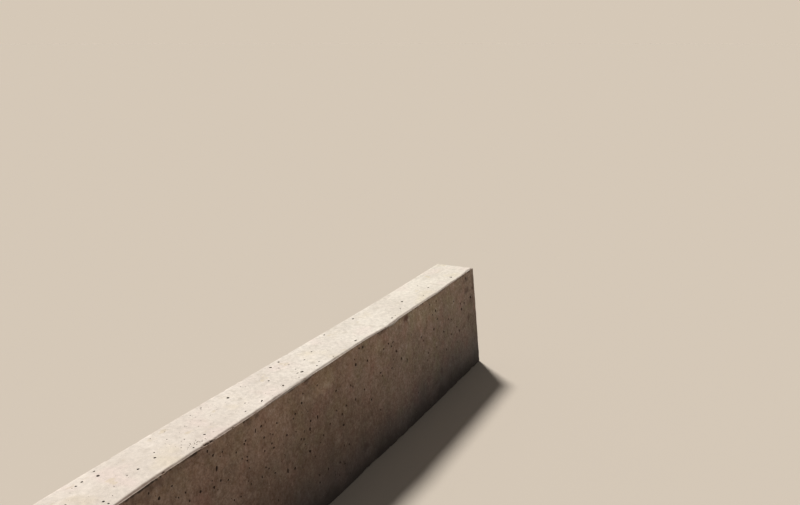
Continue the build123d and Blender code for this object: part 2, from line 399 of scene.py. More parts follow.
scatter(46, top_lo, top_hi, 0.0012, 0.0022, (0.7, 1.0), "mid", u_lo=-0.80, u_hi=0.30, bump_share=0.7)
scatter(80, top_lo, top_hi, 0.0013, 0.0021, (0.5, 0.9), "mid", more_in_patches, bump_share=0.4)
scatter(190, top_lo, top_hi, 0.0008, 0.0013, (0.6, 1.0), "small", more_in_patches, bump_share=0.45)

# ------------------------------------------------------------------ points of the unrolled sheet
verts_uv = []         # (u, v)
extra = []            # (hole depth, hole mask, crumb mask)
index = {}
faces = []


def vert(u, v, dep=0.0, mask=0.0, crumb=0.0):
    if abs(v - AROUND) < 1e-7:
        v = 0.0
    key = (round(u * 1e6), round(v * 1e6))
    i = index.get(key)
    if i is None:
        i = index[key] = len(verts_uv)
        verts_uv.append((u, v))
        extra.append((dep, mask, crumb))
    return i


def columns(step, seed):
    """Stations along the kerb, ends included, slightly uneven."""
    n = int(round(2 * HALF / step))
    x = np.linspace(-HALF, HALF, n + 1)
    r = np.random.default_rng(seed)
    x[1:-1] += r.uniform(-0.12, 0.12, n - 1) * step
    return np.concatenate([x[:1], [-HALF + END_BAND], x[1:-1], [HALF - END_BAND], x[-1:]])


cols_back = columns(0.0046, 1)
# twice as many stations at the larger broken places
between = (cols_back[1:] + cols_back[:-1]) / 2
wanted = np.zeros(len(between), bool)
for x, h, d in CHIPS_BACK:
    if d > 3.0:
        wanted |= np.abs(between * 1000 - x) < h + 4
cols_back = np.sort(np.concatenate([cols_back, between[wanted]]))
cols_road = columns(0.0082, 2)
cols_base = columns(0.0140, 3)


def strip(cols, vs):
    """A band of quads: all stations by all rows."""
    ids = [[vert(u, v) for u in cols] for v in vs]
    for a, b in zip(ids, ids[1:]):
        for i in range(len(cols) - 1):
            faces.append((a[i], a[i + 1], b[i + 1], b[i]))


rows_back = [C1 + t / 1000 for t in ARRIS_T]
rows_road = [C2 - t / 1000 for t in reversed(ARRIS_T)]
rows_foot_road = [C3 + t / 1000 for t in BASE_T]
rows_foot_back = [t / 1000 if t >= 0 else AROUND + t / 1000 for t in BASE_T]
strip(cols_back, rows_back)
strip(cols_road, rows_road)
strip(cols_base, rows_foot_road)
strip(cols_base, rows_foot_back)


def hole_rings(h):
    """Points of one hole: rings from its rim to its bottom."""
    u0, v0, ru, rv, dep, turn, kind = h
    r = np.random.default_rng(int(abs(u0) * 1e6) * 7 + int(v0 * 1e6))
    if kind == "big":
        rings = [(1.0, 13, 0.0), (0.87, 12, 0.52), (0.52, 8, 0.93)]
    elif kind == "mid":
        rings = [(1.0, 9, 0.0), (0.80, 8, 0.60), (0.36, 5, 0.98)]
    else:
        rings = [(1.0, 7, 0.0), (0.66, 6, 0.78)]
    if dep < 0:      # a crumb has a softer foot
        rings = [(s, n, d * 0.9) for s, n, d in rings]
    p2, p3 = r.uniform(0, 6.28, 2)
    a2, a3 = r.uniform(0.02, 0.16), r.uniform(0.02, 0.10)
    ct, st = math.cos(turn), math.sin(turn)
    out = []
    for k, (s, n, d) in enumerate(rings):
        off = r.uniform(0, 6.28)
        for i in range(n):
            a = off + 2 * math.pi * i / n
            w = s * (1 + a2 * math.sin(2 * a + p2) + a3 * math.sin(3 * a + p3)) / (1 + a2 + a3) * 1.1
            x, y = ru * w * math.cos(a), rv * w * math.sin(a)
            out.append((u0 + ct * x - st * y, v0 + st * x + ct * y, dep * d, 0.0 if k == 0 else 1.0))
    out.append((u0, v0, dep, 1.0))
    return out


def triangulate(pts, loop):
    """Constrained triangulation inside the closed outline given by the loop of point numbers."""
    edges = list(zip(loop, loop[1:] + loop[:1]))
    res = delaunay_2d_cdt(pts, edges, [], 1, 1e-7)
    source = [o[0] for o in res[3]]
    return [tuple(source[i] for i in f) for f in res[2]]


def face_sheet(v_lo, v_hi, cols_lo, cols_hi, grid, seed):
    """Triangulates one face of the unrolled sheet round its holes."""
    r = np.random.default_rng(seed)
    pts, data = [], []

    def put(u, v, dep=0.0, mask=0.0, crumb=0.0):
        pts.append(Vector((u, v)))
        data.append((u, v, dep, mask, crumb))
        return len(pts) - 1

    lo = [put(u, v_lo) for u in cols_lo]
    hi = [put(u, v_hi) for u in cols_hi]
    n_side = max(2, int(round((v_hi - v_lo) / (grid * 0.8))))
    left, right = [], []
    for v in np.linspace(v_lo, v_hi, n_side + 1)[1:-1]:
        left.append(put(-HALF, v))
        right.append(put(HALF, v))
        put(-HALF + END_BAND, v)
        put(HALF - END_BAND, v)
    loop = lo + right + hi[::-1] + left[::-1]
    cells = Near(0.025)
    for h in holes:
        if not v_lo < h[1] < v_hi:
            continue
        for u, v, dep, mask in hole_rings(h):
            put(u, v, dep, mask if dep > 0 else 0.0, mask if h[4] < -0.0018 or (dep < 0 and h[6] == "mid") else 0.0)
        cells.add(h[0], h[1], max(h[2], h[3]) * 1.15)
    # closer points where a stain is drawn
    for x, d, w, h, s in STAINS:
        uc, vc = x / 1000, C1 - d / 1000 * SIDE / HIGH
        for a in np.arange(-1.3, 1.31, 0.26):
            for b in np.arange(-1.3, 1.31, 0.26):
                uu, vv = uc + (a + r.uniform(-0.05, 0.05)) * w / 1000, vc + (b + r.uniform(-0.05, 0.05)) * h / 1000
                if v_lo + 0.002 < vv < v_hi - 0.002 and abs(uu) < HALF - 0.006 and cells.clear(uu, vv, 0.0022):
                    put(uu, vv)
                    cells.add(uu, vv, 0.0004)
    # even grid, jittered, kept off the holes
    rows = int(round((v_hi - v_lo) / (grid * 0.866)))
    dv = (v_hi - v_lo) / rows
    nu = int(round(2 * HALF / grid))
    du = 2 * HALF / nu
    for j in range(1, rows):
        v = v_lo + dv * j
        for i in range(nu):
            u = -HALF + du * (i + (0.5 if j % 2 else 0.25))
            uu, vv = u + r.uniform(-0.18, 0.18) * grid, v + r.uniform(-0.18, 0.18) * grid
            if abs(uu) > HALF - grid * 0.5:
                continue
            if cells.clear(uu, vv, grid * 0.22):
                put(uu, vv)
    ids = {}
    for t in triangulate(pts, loop):
        for i in t:
            if i not in ids:
                ids[i] = vert(*data[i])
        faces.append(tuple(ids[i] for i in t))


face_sheet(rows_foot_back[-1], rows_back[0], cols_base, cols_back, 0.0125, 41)
face_sheet(rows_back[-1], rows_road[0], cols_back, cols_road, 0.0100, 42)
face_sheet(rows_road[-1], rows_foot_road[0], cols_road, cols_base, 0.0142, 43)
face_sheet(rows_foot_road[-1], rows_foot_back[0], cols_base, cols_base, 0.045, 44)

# ------------------------------------------------------------------ from the sheet to the solid
uv = np.array(verts_uv)
ex = np.array(extra)
U, V = uv[:, 0], uv[:, 1]

fin_b = np.clip(0.92 + 0.22 * fin_noise(U, 0.3) + 0.10 * fin_fine(U, 0.1), 0.1, 1.15)
fin_b *= 1 - 0.5 * smooth((U + 0.1) / 0.7)
bite_b = chip_amount(U, CHIPS_BACK, 51, 0.010, 0.03)
rim_b = smooth(bite_b / 0.0012)
fin_f = np.clip(0.10 + 0.22 * fin_noise(U, 2.3) + 0.05 * fin_fine(U, 1.1), 0.0, 0.40)
bite_f = chip_amount(U, CHIPS_FRONT, 52, 0.010, 0.03)
rim_f = smooth(bite_f / 0.0012)
bite_foot = {3: chip_amount(U, CHIPS_BASE_ROAD, 53, 0.03, 0.08), 0: chip_amount(U, CHIPS_BASE_BACK, 54, 0.03, 0.08)}


def section_point(u, v):
    """Place (y, z) and outward normal of each sheet point on the section at u."""
    wb, wf = back_bow(u), front_bow(u)
    z0, z1 = np.zeros_like(u), np.full_like(u, HIGH)
    P = (np.stack([-BASE_HALF + BACK_BASE_SHARE * wb, z0], -1), np.stack([-TOP_HALF + wb, z1], -1),
         np.stack([TOP_HALF + wf, z1], -1), np.stack([BASE_HALF + FRONT_BASE_SHARE * wf, z0], -1))
    length = [SIDE, 2 * TOP_HALF, SIDE, 2 * BASE_HALF]
    start = [C0, C1, C2, C3]
    pos, nor = np.zeros((len(u), 2)), np.zeros((len(u), 2))
    edge_vec = [P[(k + 1) % 4] - P[k] for k in range(4)]
    edge_nor = [np.stack([-e[:, 1], e[:, 0]], -1) / np.linalg.norm(e, axis=1)[:, None] for e in edge_vec]
    for k in range(4):
        s = (v >= start[k] - 1e-9) & (v <= start[k] + length[k] + 1e-9)
        f = ((v - start[k]) / length[k])[:, None]
        pos[s] = (P[k] + edge_vec[k] * f)[s]
        nor[s] = edge_nor[k][s]
    # the two top arrises
    T = np.array(ARRIS_T) / 1000
    fin_in, fin_down = np.array(ARRIS_FIN).T / 1000
    pl_in, pl_down = np.array(ARRIS_PLAIN).T / 1000
    for k, share, bite, rim, mirror in ((1, fin_b, bite_b, rim_b, 1.0), (2, fin_f, bite_f, rim_f, -1.0)):
        t = (v - start[k]) * mirror
        share = share * (1 - rim * smooth((t + 0.0031 + 0.0006 * edge_noise(u, 0.4)) / 0.0010))
        s = (t >= T[0] - 1e-9) & (t <= T[-1] + 1e-9)
        pa, pb = np.interp(t, T, pl_in), np.interp(t, T, pl_down)
        a = pa + (np.interp(t, T, fin_in) - pa) * share
        b = pb + (np.interp(t, T, fin_down) - pb) * share
        # a chip tears the trowelled skin off behind the corner and leaves most of the side face
        reach = np.where(t < 0, 0.0018 + 0.08 * bite, 0.0034 + 0.52 * bite)
        bell = np.exp(-(t / reach) ** 2) * smooth((t - T[0]) / 0.003) * smooth((T[-1] - t) / 0.003)
        rag = np.clip(1 + 0.18 * edge_noise(u, t * 3) + 0.12 * fin_fine(u, t * 5) + 0.13 * crumbly(u, t), 0.5, 1.25)
        a = a + bite * bell * rag * 0.76
        b = b + bite * bell * rag * 0.46
        if k == 1:
            place = P[1] + edge_vec[1] * (a / length[1])[:, None] - edge_vec[0] * (b / length[0])[:, None]
            n_side, n_top = edge_nor[0], edge_nor[1]
        else:
            place = P[2] - edge_vec[1] * (a / length[1])[:, None] + edge_vec[2] * (b / length[2])[:, None]
            n_side, n_top = edge_nor[2], edge_nor[1]
        m = smooth((t + 0.008) / 0.016)[:, None]
        n = n_side * (1 - m) + n_top * m
        n /= np.linalg.norm(n, axis=1)[:, None]
        pos[s], nor[s] = place[s], n[s]
    # the two base edges
    T = np.array(BASE_T) / 1000
    sh_in, sh_down = np.array(BASE_SHAPE).T / 1000
    for k in (3, 0):
        t = v - start[k]
        if k == 0:
            t = np.where(t > AROUND / 2, t - AROUND, t)
        s = np.abs(t) <= 0.008 + 1e-9
        bell = np.exp(-(t / 0.0042) ** 2) * smooth((0.008 - np.abs(t)) / 0.002)
        a = np.interp(t, T, sh_in) + bite_foot[k] * bell
        b = np.interp(t, T, sh_down) + bite_foot[k] * bell
        before, after = edge_vec[(k - 1) % 4], edge_vec[k]
        place = P[k] + after * (a / length[k])[:, None] - before * (b / length[(k - 1) % 4])[:, None]
        m = smooth((t + 0.003) / 0.006)[:, None]
        n = edge_nor[(k - 1) % 4] * (1 - m) + edge_nor[k] * m
        n /= np.linalg.norm(n, axis=1)[:, None]
        pos[s], nor[s] = place[s], n[s]
    return pos, nor


pos, nor = section_point(U, V)
push = relief(U, V) - ex[:, 0]
P3 = np.stack([U, pos[:, 0] + nor[:, 0] * push, pos[:, 1] + nor[:, 1] * push], -1)
P3[:, 2] = np.maximum(P3[:, 2], 0.0)

# ------------------------------------------------------------------ joint ends
points = [tuple(p) for p in P3]
masks = [(m, c) for _, m, c in extra]

end_wear = waves(61, 40, 0.006, 0.05)
end_chip = waves(62, 30, 0.03, 0.25)


def close_end(sign):
    ring = sorted((v, i) for i, (u, v) in enumerate(verts_uv) if abs(u - sign * HALF) < 1e-9)
    ids = [i for _, i in ring]
    vv = np.array([v for v, _ in ring])
    outer = np.array([[points[i][1], points[i][2]] for i in ids])
    # each ring point moves in towards the middle line of the section
    centre = np.stack([outer[:, 0] * 0.0, np.clip(outer[:, 1], 0.07, 0.42)], -1)
    inward = centre - outer
    inward /= np.linalg.norm(inward, axis=1)[:, None]
    wear = 0.0020 * np.clip(1 + 0.35 * end_wear(vv, sign * 3.0) + 0.5 * end_chip(vv, sign * 2.0), 0.45, 3.0)
    wear = np.where((vv > C3 + 0.004) & (vv < AROUND - 0.004), 0.0014, wear)
    n = len(ids)
    rings = [ids]
    for along, inn in ((0.34, 0.12), (0.10, 0.50), (0.0, 1.0)):
        new = []
        for k in range(n):
            p = outer[k] + inward[k] * wear[k] * inn
            new.append(len(points))
            points.append((sign * (HALF - wear[k] * along), p[0], max(p[1], 0.0)))
            masks.append((0.0, 0.0))
        rings.append(new)
    for k, i in enumerate(ids):
        x, y, z = points[i]
        points[i] = (sign * (HALF - wear[k]), y, z)
    for a, b in zip(rings, rings[1:]):
        for k in range(n):
            q = (a[k], a[(k + 1) % n], b[(k + 1) % n], b[k])
            faces.append(q if sign > 0 else tuple(reversed(q)))
    # the flat of the joint face, with a few holes
    last = rings[-1]
    pts = [Vector((points[i][1], points[i][2])) for i in last]
    tag = [("ring", i) for i in last]
    r = np.random.default_rng(70 + sign)
    spots = Near(0.02)
    marks = []
    for _ in range(600):
        if len(marks) > 52:
            break
        z = r.uniform(0.03, 0.47)
        half = BASE_HALF - (BASE_HALF - TOP_HALF) * z / HIGH - 0.018
        y = r.uniform(-half, half)
        rad = 0.0009 * (6.0 ** (r.random() ** 2.2))
        if spots.clear(y, z, rad * 1.3 + 0.001):
            spots.add(y, z, rad * 1.3)
            marks.append((y, z, rad))
    small = waves(80 + sign, 40, 0.03, 0.12)
    for y, z, rad in marks:
        n_r = 11 if rad > 0.002 else 7
        for s, m, d in ((1.0, n_r, 0.0), (0.82, n_r - 1, 0.6), (0.42, n_r // 2 + 1, 0.95), (0.0, 1, 1.0)):
            off = r.uniform(0, 6.28)
            for q in range(m):
                a = off + 2 * math.pi * q / m
                w = s * (1 + 0.12 * math.sin(2 * a + rad * 9000))
                pts.append(Vector((y + rad * w * math.cos(a), z + rad * w * math.sin(a))))
                tag.append(("pit", rad * 0.95 * d))
    g = 0.0125
    for j in range(1, int(HIGH / (g * 0.866))):
        z = j * g * 0.866
        if not 0.010 < z < HIGH - 0.012:
            continue
        half = BASE_HALF - (BASE_HALF - TOP_HALF) * z / HIGH - 0.010
        for i in range(-13, 14):
            y = (i + (0.5 if j % 2 else 0)) * g + r.uniform(-0.15, 0.15) * g
            if abs(y) < half and spots.clear(y, z, g * 0.25):
                pts.append(Vector((y, z)))
                tag.append(("grid", 0.0))
    ids2 = {}
    for t in triangulate(pts, list(range(len(last)))):
        for i in t:
            if i in ids2:
                continue
            kind, val = tag[i]
            if kind == "ring":
                ids2[i] = val
                continue
            y, z = pts[i]
            fade = min(1.0, (BASE_HALF - 0.05 * z / HIGH - abs(y)) / 0.03, z / 0.03, (HIGH - z) / 0.03)
            inset = val + 0.0004 * (1 + 0.6 * float(small(y, z))) * max(fade, 0.0)
            ids2[i] = len(points)
            points.append((sign * (HALF - max(inset, 0.0)), y, z))
            masks.append((1.0 if val > 0 else 0.0, 0.0))
        q = tuple(ids2[i] for i in t)
        faces.append(q if sign > 0 else tuple(reversed(q)))


close_end(1)
close_end(-1)

# ------------------------------------------------------------------ the mesh
mesh = bpy.data.meshes.new("kerb_concrete")
mesh.from_pydata(points, [], faces)
kerb = bpy.data.objects.new("kerb_concrete", mesh)
scene.collection.objects.link(kerb)
bpy.context.view_layer.objects.active = kerb
kerb.select_set(True)
bpy.ops.object.mode_set(mode="EDIT")
bpy.ops.mesh.select_all(action="SELECT")
bpy.ops.mesh.normals_make_consistent(inside=False)
bpy.ops.object.mode_set(mode="OBJECT")
kerb.select_set(False)
mesh.shade_smooth()
mesh.set_sharp_from_angle(angle=math.radians(42))

# what each point belongs to, for the material
sheet_n = len(V)


def give(name, values):
    a = np.zeros(len(points), np.float32)
    a[:len(values)] = values
    mesh.attributes.new(name, "FLOAT", "POINT").data.foreach_set("value", a)


give("pit", np.array([m for m, _ in masks]))
give("crumb", np.array([c for _, c in masks]))
t_back, t_front = V - C1, C2 - V
band_noise = waves(91, 30, 0.03, 0.4)
skirt = np.interp(U * 1000, *np.array(ARRIS_SKIRT).T) / 1000 + 0.0002 * band_noise(U, 9.0) + 0.0002 * fin_fine(U, 4.0)
give("trowelled", np.minimum(smooth((t_back + skirt) / 0.0010), smooth((t_front + 0.0032) / 0.0012)))
# painted shade on the slope of the arris behind the fin, all but its crest, and a painted shadow line, with some dirt,
# under it
band_x, band_weight, band_width, band_crest = np.array(ARRIS_SHADE_BAND).T
weight, width, kept = (np.interp(U * 1000, band_x, k) for k in (band_weight, band_width, band_crest))
width = width / 1000 * (1 + 0.06 * band_noise(U, 5.0))
crest_kept = np.clip(kept + 0.10 * band_noise(U, 3.0), 0.0, 0.95) * np.exp(-((t_back + 0.0009) / 0.0010) ** 2)
groove_shade = 0.30 * smooth((-0.86 - U) / 0.05) * np.exp(-((t_back - 0.0062) / 0.0016) ** 2)
slope_shade = smooth((t_back + skirt) / 0.0012) * smooth((width - t_back) / 0.0080)
lip = np.zeros(sheet_n)
for x, h, s in LIPS:
    lip = np.maximum(lip, s * smooth((1.3 - np.abs(U * 1000 - x) / h) / 0.6))
slope_shade *= 1 - lip * smooth((-0.0004 - t_back) / 0.0024)
give("slope_shade", np.clip(slope_shade * (1 - crest_kept) * weight + groove_shade, 0, 1.15))
mark = np.zeros(sheet_n)
for x, h, s in UNDER_MARKS:
    mark = np.maximum(mark, s * smooth((1.25 - np.abs(U * 1000 - x) / h) / 0.6))
mark = np.clip(mark * (1 + 0.25 * fin_fine(U, 0.7)) + 0.12 * band_noise(U, 0.0), 0.0, 1.0)
under = smooth((t_back + skirt + 0.0024 + 0.0062 * mark) / (0.0020 + 0.0030 * mark)) \
    * smooth((-skirt + 0.0006 - t_back) / 0.0010)
give("underfin", under * (0.10 + 0.90 * mark))
# mask of the broken places: painted dark as their shade, and roughened in the bump
broken_b = smooth(bite_b / 0.0016) * np.exp(-(np.abs(t_back - 0.30 * bite_b) / (0.0034 + 0.50 * bite_b)) ** 4)
broken_f = smooth(bite_f / 0.0016) * np.exp(-(np.abs(t_front - 0.30 * bite_f) / (0.0034 + 0.50 * bite_f)) ** 4)
broken_b *= smooth((t_back + 0.0044) / 0.0012)
broken_f *= smooth((t_front + 0.0044) / 0.0012)
give("broken", np.clip(broken_b + broken_f, 0, 1))
stain = np.zeros(sheet_n)
ragged = 1 + 0.25 * waves(92, 40, 0.015, 0.06)(U, V)
for x, d, w, h, s in STAINS:
    q = ((U - x / 1000) / (w / 1000)) ** 2 + ((V - (C1 - d / 1000 * SIDE / HIGH)) / (h / 1000)) ** 2
    stain = np.maximum(stain, s * smooth((1.6 - q * ragged) / 1.4))
give("stain", np.where(V < C1 - 0.003, stain, 0))
pale = np.zeros(sheet_n)
for x, d, w, h, s in PALE:
    q = ((U - x / 1000) / (w / 1000)) ** 2 + ((V - (C1 - d / 1000 * SIDE / HIGH)) / (h / 1000)) ** 2
    pale = np.maximum(pale, s * smooth((1.7 - q * ragged) / 1.7))
give("pale", np.where(V < C1, pale, 0))

# own map of the surface: the unrolled sheet, with the two ends in a row above it
n_loops, n_poly = len(mesh.loops), len(mesh.polygons)
loop_vert = np.empty(n_loops, np.int32)
mesh.loops.foreach_get("vertex_index", loop_vert)
total_of = np.empty(n_poly, np.int32)
mesh.polygons.foreach_get("loop_total", total_of)
poly_of = np.repeat(np.arange(n_poly), total_of)
end_poly = np.zeros(n_poly, bool)
np.logical_or.at(end_poly, poly_of, loop_vert >= sheet_n)
loop_end = end_poly[poly_of]
on_sheet = np.minimum(loop_vert, sheet_n - 1)
sv = np.where(loop_end, 0, V[on_sheet])
v_min, v_max = np.full(n_poly, 9.0), np.full(n_poly, -9.0)
np.minimum.at(v_min, poly_of, sv)
np.maximum.at(v_max, poly_of, sv)
wrap = ((v_max - v_min) > AROUND / 2)[poly_of] & (sv < AROUND / 2)
sv = np.where(wrap, sv + AROUND, sv)
per_metre = 0.88 / (C3 + BASE_HALF + 0.01)
sheet_v = 0.004 + per_metre * np.where(sv <= C3, sv, C3 + 0.5 * (sv - C3))
sheet_u = 0.004 + 0.992 * (U[on_sheet] + HALF) / (2 * HALF)
px = np.array(points)[loop_vert]
end_u = 0.01 + 0.44 * px[:, 2] / HIGH + np.where(px[:, 0] > 0, 0.5, 0.0)
end_v = 0.896 + 0.098 * (px[:, 1] + 0.155) / 0.31
uv_layer = mesh.uv_layers.new(name="OFBake")
both = np.stack([np.where(loop_end, end_u, sheet_u), np.where(loop_end, end_v, sheet_v)], -1)
uv_layer.data.foreach_set("uv", both.astype(np.float32).ravel())

# ------------------------------------------------------------------ concrete
mat = bpy.data.materials.new("cast_concrete")
mat.use_nodes = True
nt = mat.node_tree
nt.nodes.clear()


def node(kind, **kw):
    n = nt.nodes.new(kind)
    for k, val in kw.items():
        setattr(n, k, val)
    return n


def link(a, b):
    nt.links.new(a, b)


def value_of(x, socket):
    if isinstance(x, (int, float)):
        socket.default_value = x
    elif isinstance(x, tuple):
        socket.default_value = x if len(x) == 4 or socket.type == "VECTOR" else (*x, 1.0)
    else:
        link(x, socket)


def math_node(op, a, b=0.0):
    n = node("ShaderNodeMath", operation=op)
    value_of(a, n.inputs[0])
    value_of(b, n.inputs[1])
    return n.outputs[0]


def times(*xs):
    out = xs[0]
    for x in xs[1:]:
        out = math_node("MULTIPLY", out, x)
    return out


def ramp(x, lo, hi, out_lo=0.0, out_hi=1.0, kind="SMOOTHSTEP"):
    n = node("ShaderNodeMapRange", interpolation_type=kind)
    value_of(x, n.inputs["Value"])
    n.inputs["From Min"].default_value = lo
    n.inputs["From Max"].default_value = hi
    n.inputs["To Min"].default_value = out_lo
    n.inputs["To Max"].default_value = out_hi
    return n.outputs["Result"]


def mix(f, a, b, blend="MIX"):
    n = node("ShaderNodeMix", data_type="RGBA", blend_type=blend)
    value_of(f, n.inputs[0])
    value_of(a, n.inputs[6])
    value_of(b, n.inputs[7])
    return n.outputs[2]


def stops(x, table):
    """A colour that goes through the given (value, colour) stops."""
    lo, hi = table[0][0], table[-1][0]
    top_value = max(max(c) for _, c in table)
    n = node("ShaderNodeValToRGB")
    link(ramp(x, lo, hi, kind="LINEAR"), n.inputs["Fac"])
    el = n.color_ramp.elements
    while len(el) < len(table):
        el.new(0.5)
    for e, (v, c) in zip(el, table):
        e.position = (v - lo) / (hi - lo)
    for e, (v, c) in zip(el, table):
        e.color = (*(k / top_value for k in c), 1.0)
    return scaled(n.outputs["Color"], top_value)


def scaled(color, factor):
    """The colour, lighter or darker by a factor that varies over the surface."""
    n = node("ShaderNodeVectorMath", operation="SCALE")
    link(color, n.inputs[0])
    value_of(factor, n.inputs["Scale"])
    return n.outputs[0]


coords = node("ShaderNodeTexCoord").outputs["Object"]


def stretched(scale=(1, 1, 1), move=(0.0, 0.0, 0.0), turn=(0.0, 0.0, 0.0)):
    n = node("ShaderNodeMapping")
    link(coords, n.inputs["Vector"])
    n.inputs["Scale"].default_value = scale
    n.inputs["Location"].default_value = move
    n.inputs["Rotation"].default_value = turn
    return n.outputs["Vector"]


def noise(vec, scale, detail=2.0, rough=0.5, distortion=0.0):
    n = node("ShaderNodeTexNoise")
    link(vec, n.inputs["Vector"])
    n.inputs["Scale"].default_value = scale
    n.inputs["Detail"].default_value = detail
    n.inputs["Roughness"].default_value = rough
    n.inputs["Distortion"].default_value = distortion
    return n.outputs["Fac"]


def cells_of(vec, scale, rand=1.0):
    n = node("ShaderNodeTexVoronoi", feature="F1")
    link(vec, n.inputs["Vector"])
    n.inputs["Scale"].default_value = scale
    n.inputs["Randomness"].default_value = rand
    return n.outputs["Distance"]


def attribute(name):
    return node("ShaderNodeAttribute", attribute_name=name).outputs["Fac"]


sep = node("ShaderNodeSeparateXYZ")
link(coords, sep.inputs[0])
along, across, height = sep.outputs["X"], sep.outputs["Y"], sep.outputs["Z"]
trowelled, pit, crumb = attribute("trowelled"), attribute("pit"), attribute("crumb")
arris_slope_shade, underfin_shadow, chip_shade_and_rough, stain_a = attribute("slope_shade"), attribute("underfin"), attribute("broken"), attribute("stain")
plain = stretched()

# formed faces: brown grey, clouded between pinkish and olive, with faint runs; darker and browner than the top, partly
# the concrete's own tone and partly painted shade and painted warm bounce light
cloud = noise(plain, 2.6, 5.0, 0.60, 0.3)
cloud2 = noise(stretched(move=(4.0, 2.0, 7.0)), 8.0, 5.0, 0.62)
cloud3 = noise(stretched(move=(9.0, 5.0, 1.0)), 22.0, 4.0, 0.62)
cloud4 = noise(stretched(move=(1.0, 9.0, 5.0)), 64.0, 3.0, 0.60)
formed = mix(ramp(cloud, 0.36, 0.64), (0.268, 0.198, 0.156), (0.350, 0.262, 0.210))
tinted = times(ramp(across, -0.05, 0.05, 1.0, 0.34), ramp(along, -0.4, 0.7, 0.42, 0.72))
formed = mix(times(ramp(cloud2, 0.50, 0.68), tinted, ramp(along, -0.9, -0.2, 0.55, 1.0)), formed, (0.292, 0.246, 0.160))
formed = mix(times(ramp(cloud2, 0.50, 0.31), tinted, ramp(along, -0.9, -0.2, 1.5, 1.0)), formed, (0.366, 0.230, 0.192))
formed = mix(times(ramp(cloud3, 0.52, 0.70), 0.55), formed, (0.420, 0.335, 0.282))
formed = mix(times(ramp(cloud3, 0.48, 0.30), 0.60), formed, (0.200, 0.137, 0.098))
formed = mix(1.0, formed, mix(ramp(cloud4, 0.32, 0.68), (0.87, 0.84, 0.80), (1.14, 1.18, 1.22)), "MULTIPLY")
tint = noise(stretched(move=(3.0, 1.0, 8.0)), 12.0, 2.0, 0.5)
formed = mix(1.0, formed, mix(ramp(tint, 0.36, 0.64), (1.018, 0.986, 0.984), (0.986, 1.010, 0.994)), "MULTIPLY")
runs = noise(stretched((30, 30, 2.2)), 1.0, 3.0, 0.6)
runs_weight = ramp(height, 0.05, 0.45, 0.4, 1.0)
formed = mix(times(ramp(runs, 0.52, 0.72), runs_weight, 0.15), formed, (0.420, 0.330, 0.262))
formed = mix(times(ramp(runs, 0.46, 0.30), runs_weight, 0.18), formed, (0.180, 0.128, 0.096))
# fine blotches of paste, a few millimetres across
blotch = noise(stretched(move=(7.0, 3.0, 2.0)), 150.0, 2.0, 0.55)
formed = mix(1.0, formed, mix(ramp(blotch, 0.30, 0.70), (0.87, 0.84, 0.80), (1.13, 1.17, 1.22)), "MULTIPLY")
brown = stops(along, [(-1.1, (0.782, 0.708, 0.676)), (-0.3, (0.920, 0.856, 0.808)), (0.35, (0.955, 0.905, 0.872)),
                      (0.65, (1.08, 1.07, 1.06)), (1.1, (1.09, 1.09, 1.07)), (1.5, (1.00, 1.01, 0.99))])
formed = mix(1.0, formed, brown, "MULTIPLY")
formed = mix(1.0, formed, mix(attribute("pale"), (1.0, 1.0, 1.0), (1.44, 1.54, 1.38)), "MULTIPLY")
stain_tone = ramp(noise(stretched(move=(5.0, 5.0, 2.0)), 32.0, 2.0, 0.5), 0.42, 0.60)
formed = mix(times(stain_a, 0.92), formed, mix(stain_tone, (0.080, 0.052, 0.038), (0.128, 0.068, 0.050)))

# darker towards the foot: painted shade of the ground's occlusion, with some soil staining
foot_noise = noise(stretched((1, 1, 0.6)), 5.0, 5.0, 0.62)
foot_edge = math_node("ADD", height, times(math_node("SUBTRACT", foot_noise, 0.5), 0.17))
foot_edge = math_node("SUBTRACT", foot_edge, ramp(along, 0.6, 1.3, 0.0, 0.020))
foot_shade_and_soil = stops(foot_edge, [(0.0, (0.46, 0.56, 0.74)), (0.06, (0.51, 0.59, 0.75)), (0.15, (0.585, 0.607, 0.646)),
                         (0.25, (0.72, 0.73, 0.75)), (0.35, (0.865, 0.86, 0.885)), (0.425, (0.966, 0.972, 0.970)),
                         (0.50, (1.02, 1.02, 1.01))])
formed = mix(1.0, formed, foot_shade_and_soil, "MULTIPLY")
formed = mix(times(ramp(foot_edge, 0.23, 0.05), 0.55), formed, (0.088, 0.072, 0.064))
formed = mix(times(ramp(foot_edge, 0.085, 0.0), 0.75), formed, (0.042, 0.035, 0.032))

# trowelled top: cream, nearly even, with long soft sweeps and a few yellowish patches
sweep = noise(stretched((2.2, 9.0, 1.0), turn=(0, 0, 0.12)), 1.6, 4.0, 0.55, 0.4)
top_cloud = noise(stretched(move=(2.0, 8.0, 3.0)), 4.6, 5.0, 0.6)
top_fleck = noise(stretched(move=(5.0, 4.0, 6.0)), 19.0, 4.0, 0.6)
warm = noise(stretched(move=(6.0, 1.0, 2.0)), 6.0, 2.0, 0.5)
top = mix(ramp(top_cloud, 0.36, 0.66), (0.545, 0.500, 0.455), (0.605, 0.562, 0.515))
top = mix(times(ramp(sweep, 0.52, 0.75), 0.45), top, (0.650, 0.608, 0.560))
top = mix(times(ramp(sweep, 0.48, 0.25), 0.45), top, (0.490, 0.448, 0.408))
livelier = ramp(along, -0.7, -0.2, 1.0, 1.4)
warmer = ramp(along, -0.8, -0.3, 1.35, 1.0)
top = mix(times(ramp(top_fleck, 0.53, 0.72), livelier, 0.60), top, (0.490, 0.445, 0.395))
top = mix(times(ramp(warm, 0.56, 0.72), 0.50), top, (0.565, 0.503, 0.400))
top = mix(times(ramp(warm, 0.46, 0.30), warmer, 0.60), top, (0.590, 0.515, 0.480))
smudge = ramp(noise(stretched((1, 1.5, 1), move=(8.0, 8.0, 1.0)), 15.0, 3.0, 0.5), 0.65, 0.74)
